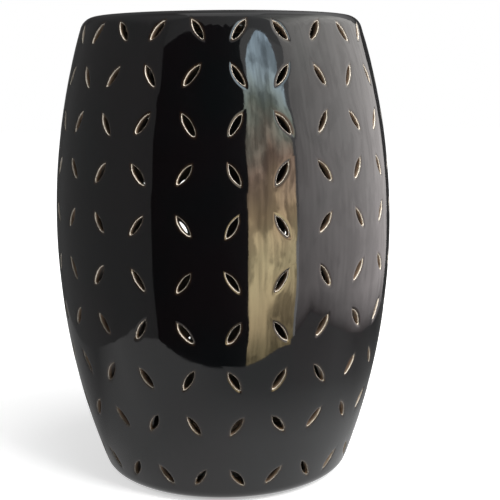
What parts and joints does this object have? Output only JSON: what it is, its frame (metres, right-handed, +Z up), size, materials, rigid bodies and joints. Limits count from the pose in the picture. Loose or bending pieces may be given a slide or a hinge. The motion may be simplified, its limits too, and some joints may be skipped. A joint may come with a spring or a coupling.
{
  "type": "ceramic garden stool",
  "caption": "Barrel-shaped ceramic garden stool with a gloss black glaze, pierced all round with rows of leaning leaf-shaped openings, a flat closed seat and an open base.",
  "frame": {"origin": "centre of the stool on the floor, at the underside of the felt pads", "axes": "+Z up along the stool's axis, -Y towards the side that the reference view shows, +X to its right"},
  "size_m": [0.339, 0.339, 0.46],
  "materials": {
    "black_glaze": "gloss black glaze, thin and pale along the cut edges of the leaves",
    "bare_clay": "matt unglazed fired clay",
    "felt": "dense pressed felt"
  },
  "bodies": {
    "root": {"upper_wall": "black_glaze", "lower_wall": "black_glaze", "seat_slab": "black_glaze", "foot_ring": "bare_clay", "seat_seam_coil": "bare_clay", "belly_seam_coil": "bare_clay", "foot_seam_coil": "bare_clay", "foot_pad_1": "felt", "foot_pad_2": "felt", "foot_pad_3": "felt", "foot_pad_4": "felt"}
  },
  "joints": []
}
